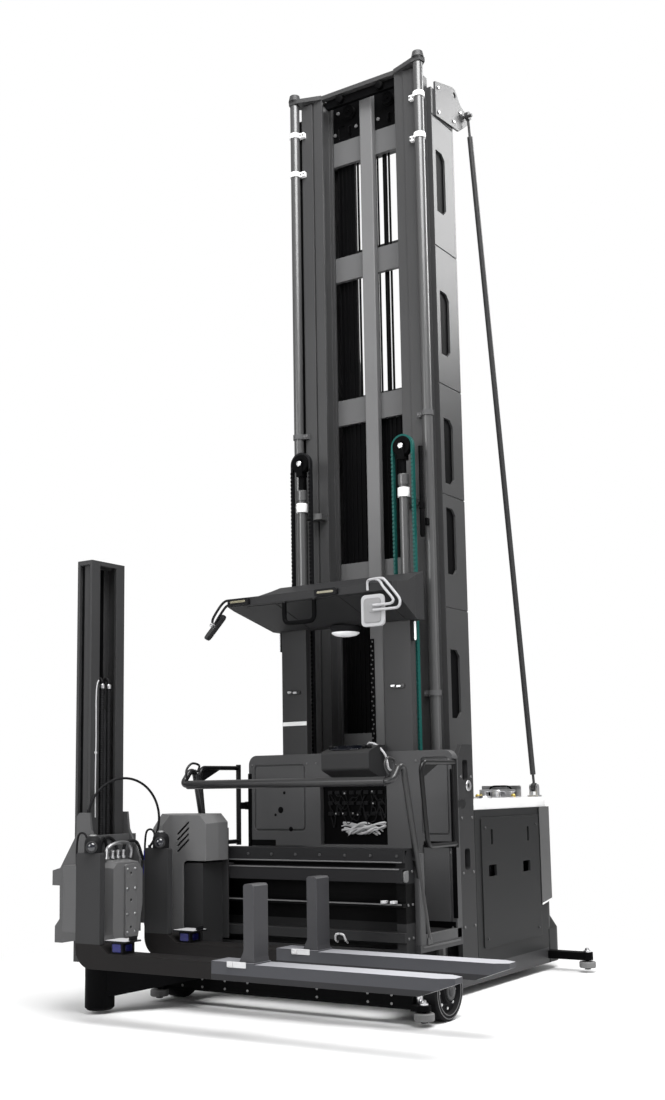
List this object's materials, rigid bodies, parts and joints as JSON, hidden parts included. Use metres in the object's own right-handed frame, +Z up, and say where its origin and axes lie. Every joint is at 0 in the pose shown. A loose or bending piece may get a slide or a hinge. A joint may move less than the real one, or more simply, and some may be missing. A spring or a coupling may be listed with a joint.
{
  "type": "very narrow aisle forklift",
  "caption": "Man-up turret truck with a two-stage mast, a rising operator platform, and a fork head that traverses, swivels and lifts in front of it.",
  "frame": {"origin": "on the floor midway between the front load wheels, below their axle", "axes": "+Z up along the mast, -Y towards the front of the truck, +X towards the side the forks point to at rest"},
  "size_m": [2.682, 3.343, 6.112],
  "materials": {
    "dark_paint": "satin",
    "black_paint": "satin",
    "light_paint": "satin",
    "white_cover": "gloss",
    "steel": "brushed",
    "rod_chrome": "polished",
    "chain_steel": "oiled",
    "polyurethane": "matt",
    "battery_case": "matt",
    "black_plastic": "matt",
    "hose_rubber": "matt"
  },
  "bodies": {
    "chassis": {"chassis_frame": "dark_paint", "front_bumper": "black_paint", "guide_arms": "black_paint", "rear_housing": "dark_paint", "rear_skirt": "black_paint", "side_panels": "dark_paint", "corner_trims": "light_paint", "top_cover": "white_cover", "battery_block": "battery_case", "top_fittings": "steel", "mast_supports": "dark_paint", "outer_mast": "dark_paint", "mast_ties": "dark_paint", "mast_heads": "light_paint", "lift_barrels": "black_paint", "barrel_clamps": "steel", "mast_stays": "black_paint"},
    "load_wheel_right": {"load_wheel_right": "polyurethane"},
    "load_wheel_left": {"load_wheel_left": "polyurethane"},
    "drive_unit": {"drive_unit": "black_paint"},
    "drive_wheel": {"drive_wheel": "polyurethane"},
    "guide_roller_front_right": {"guide_roller_front_right": "polyurethane"},
    "guide_roller_front_left": {"guide_roller_front_left": "polyurethane"},
    "guide_roller_rear_right": {"guide_roller_rear_right": "polyurethane"},
    "guide_roller_rear_left": {"guide_roller_rear_left": "polyurethane"},
    "inner_mast": {"inner_mast": "dark_paint", "mast_ladder": "dark_paint", "centre_post": "dark_paint", "mast_crosshead": "dark_paint", "mast_hoses": "black_paint", "lift_rods": "rod_chrome", "chain_barrels": "steel"},
    "sheave_heads": {"sheave_heads": "steel", "lift_chains": "chain_steel"},
    "platform": {"platform_carriage": "dark_paint", "platform_deck": "dark_paint", "traverse_frame": "dark_paint", "back_wall": "dark_paint", "cab_posts": "dark_paint", "overhead_guard": "dark_paint", "roof_lamps": "black_plastic", "mirrors": "black_plastic", "guard_rail": "black_paint", "console": "black_plastic"},
    "gate_right": {"gate_right": "black_paint"},
    "gate_left": {"gate_left": "black_paint"},
    "traverse": {"traverse_cover": "light_paint", "traverse_drive": "black_paint", "swivel_arm": "black_paint"},
    "turret": {"aux_mast": "dark_paint", "aux_barrel": "steel"},
    "aux_head": {"aux_head": "rod_chrome", "aux_chain": "chain_steel"},
    "fork_carriage": {"fork_carriage": "dark_paint", "head_housing": "light_paint", "fork_arms": "dark_paint", "fork_blades": "light_paint", "load_stops": "light_paint", "fork_sensors": "black_plastic", "hose_arch": "hose_rubber"}
  },
  "joints": [
    {"name": "mast_lift", "type": "slide", "parent": "chassis", "child": "inner_mast", "axis": [0, 0, 1], "range_m": [0, 4.6]},
    {"name": "platform_lift", "type": "slide", "parent": "inner_mast", "child": "platform", "axis": [0, 0, 1], "range_m": [0, 3.4]},
    {"name": "sheave_lift", "type": "slide", "parent": "inner_mast", "child": "sheave_heads", "axis": [0, 0, 1], "range_m": [0, 1.7]},
    {"name": "traverse_slide", "type": "slide", "parent": "platform", "child": "traverse", "axis": [1, 0, 0], "range_m": [0, 1.16]},
    {"name": "turret_swivel", "type": "hinge", "parent": "traverse", "child": "turret", "pos_m": [-0.94, -0.68, 0.3], "axis": [0, 0, -1], "range_deg": [0, 180]},
    {"name": "fork_lift", "type": "slide", "parent": "turret", "child": "fork_carriage", "axis": [0, 0, 1], "range_m": [0, 1.4]},
    {"name": "aux_head_lift", "type": "slide", "parent": "turret", "child": "aux_head", "axis": [0, 0, 1], "range_m": [0, 0.7]},
    {"name": "gate_right_hinge", "type": "hinge", "parent": "platform", "child": "gate_right", "pos_m": [0.79, 0.53, 1.14], "axis": [-1, 0, 0], "range_deg": [0, 80]},
    {"name": "gate_left_hinge", "type": "hinge", "parent": "platform", "child": "gate_left", "pos_m": [-0.79, 0.53, 1.14], "axis": [-1, 0, 0], "range_deg": [0, 80]},
    {"name": "steering", "type": "hinge", "parent": "chassis", "child": "drive_unit", "pos_m": [0, 1.88, 0.6], "axis": [0, 0, 1], "range_deg": [-90, 90]},
    {"name": "drive_spin", "type": "hinge", "parent": "drive_unit", "child": "drive_wheel", "pos_m": [0, 1.88, 0.19], "axis": [1, 0, 0], "continuous": true},
    {"name": "load_spin_right", "type": "hinge", "parent": "chassis", "child": "load_wheel_right", "pos_m": [0.906, 0, 0.155], "axis": [1, 0, 0], "continuous": true},
    {"name": "load_spin_left", "type": "hinge", "parent": "chassis", "child": "load_wheel_left", "pos_m": [-0.906, 0, 0.155], "axis": [1, 0, 0], "continuous": true},
    {"name": "roller_spin_front_right", "type": "hinge", "parent": "chassis", "child": "guide_roller_front_right", "pos_m": [0.906, -0.2, 0.05], "axis": [0, 0, 1], "continuous": true},
    {"name": "roller_spin_front_left", "type": "hinge", "parent": "chassis", "child": "guide_roller_front_left", "pos_m": [-0.906, -0.2, 0.05], "axis": [0, 0, 1], "continuous": true},
    {"name": "roller_spin_rear_right", "type": "hinge", "parent": "chassis", "child": "guide_roller_rear_right", "pos_m": [0.906, 2.04, 0.05], "axis": [0, 0, 1], "continuous": true},
    {"name": "roller_spin_rear_left", "type": "hinge", "parent": "chassis", "child": "guide_roller_rear_left", "pos_m": [-0.906, 2.04, 0.05], "axis": [0, 0, 1], "continuous": true}
  ],
  "couplings": [
    {"joint": "sheave_lift", "follows": "platform_lift", "ratio": 0.5},
    {"joint": "aux_head_lift", "follows": "fork_lift", "ratio": 0.5}
  ]
}
